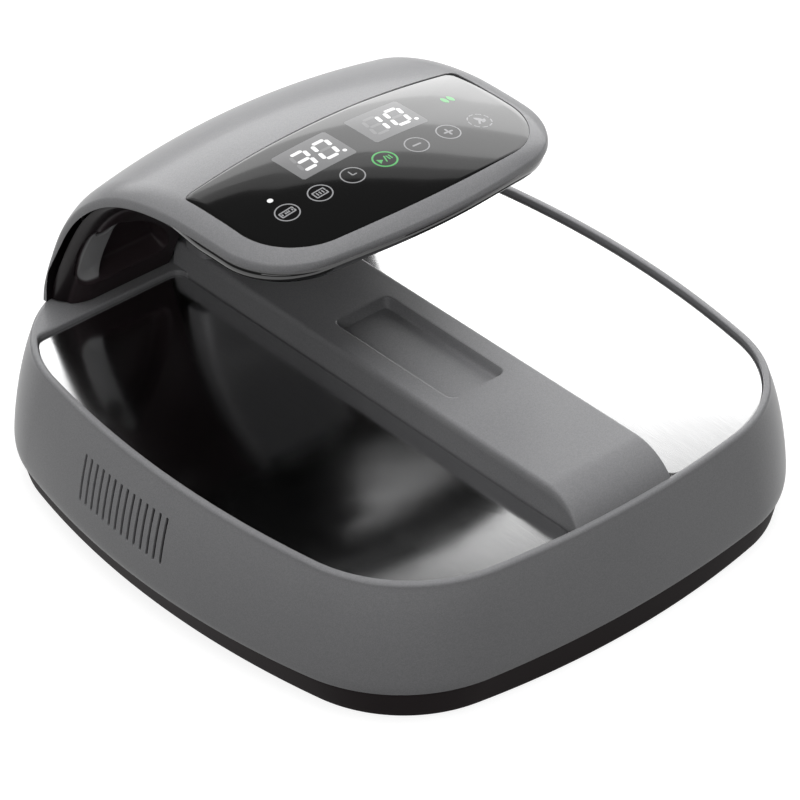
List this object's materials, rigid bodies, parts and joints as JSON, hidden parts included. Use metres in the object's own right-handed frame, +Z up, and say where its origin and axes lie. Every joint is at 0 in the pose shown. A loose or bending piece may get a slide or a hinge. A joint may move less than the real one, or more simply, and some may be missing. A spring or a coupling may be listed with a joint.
{
  "type": "heated foot massager",
  "caption": "Free-standing heated foot massager: bowed tray with polished foot plates, raised middle with a small tray, and an arched hood with a touch panel.",
  "frame": {"origin": "middle of the footprint, on the floor under the rubber feet", "axes": "+Z up, +Y to the back where the hood rises, +X to the right of the user, who sits at -Y"},
  "size_m": [0.3788, 0.3942, 0.2142],
  "materials": {
    "silver_paint": "satin silver-grey metallic paint on moulded plastic",
    "black_plastic": "fine matt texture",
    "insert_plastic": "dark brown-black, satin",
    "gloss_black": "piano black",
    "steel_plate": "polished sheet, faint blur",
    "zinc_steel": "zinc plated",
    "foot_rubber": "matt",
    "silicone": "matt silicone",
    "circuit_board": "green solder mask",
    "iron_core": "varnished laminations",
    "dark_glass": "gloss, tinted nearly black",
    "lamp_module": "light grey filled module"
  },
  "bodies": {
    "base": {"body_shell": "silver_paint", "base_pan": "black_plastic", "rubber_foot_1": "foot_rubber", "rubber_foot_2": "foot_rubber", "rubber_foot_3": "foot_rubber", "rubber_foot_4": "foot_rubber", "base_screw_1": "zinc_steel", "base_screw_2": "zinc_steel", "base_screw_3": "zinc_steel", "base_screw_4": "zinc_steel", "base_screw_5": "zinc_steel", "base_screw_6": "zinc_steel", "left_foot_plate": "steel_plate", "left_plate_seal": "silicone", "left_heater_pad": "silicone", "left_thermostat": "zinc_steel", "left_vibration_motor": "zinc_steel", "left_wing_insert": "insert_plastic", "left_wing_screw": "zinc_steel", "right_foot_plate": "steel_plate", "right_plate_seal": "silicone", "right_heater_pad": "silicone", "right_thermostat": "zinc_steel", "right_vibration_motor": "zinc_steel", "right_wing_insert": "insert_plastic", "right_wing_screw": "zinc_steel", "fan_frame": "black_plastic", "main_board": "circuit_board", "transformer": "iron_core", "rear_panel": "black_plastic", "power_inlet": "black_plastic", "switch_housing": "black_plastic", "hood_shell": "silver_paint", "head_lower_cover": "gloss_black", "neck_cover": "silver_paint", "neck_bracket": "zinc_steel", "touch_glass": "dark_glass", "display_board": "circuit_board", "time_display": "lamp_module", "level_display": "lamp_module", "left_bracket_screw": "zinc_steel", "left_strap_screw": "zinc_steel", "right_bracket_screw": "zinc_steel", "right_strap_screw": "zinc_steel", "head_screw_1": "zinc_steel", "head_screw_2": "zinc_steel", "head_screw_3": "zinc_steel", "head_screw_4": "zinc_steel"},
    "fan": {"fan_rotor": "black_plastic"},
    "left_weight": {"left_eccentric_weight": "zinc_steel"},
    "right_weight": {"right_eccentric_weight": "zinc_steel"},
    "rocker": {"switch_rocker": "black_plastic"}
  },
  "joints": [
    {"name": "fan_spin", "type": "hinge", "parent": "base", "child": "fan", "pos_m": [-0.152, 0.024, 0.052], "axis": [1, 0, 0], "continuous": true},
    {"name": "left_weight_spin", "type": "hinge", "parent": "base", "child": "left_weight", "pos_m": [-0.104, -0.025, 0.027], "axis": [0, 1, 0], "continuous": true},
    {"name": "right_weight_spin", "type": "hinge", "parent": "base", "child": "right_weight", "pos_m": [0.104, -0.025, 0.027], "axis": [0, 1, 0], "continuous": true},
    {"name": "switch_rock", "type": "hinge", "parent": "base", "child": "rocker", "pos_m": [-0.018, 0.1908, 0.043], "axis": [-1, 0, 0], "range_deg": [0, 22]}
  ]
}
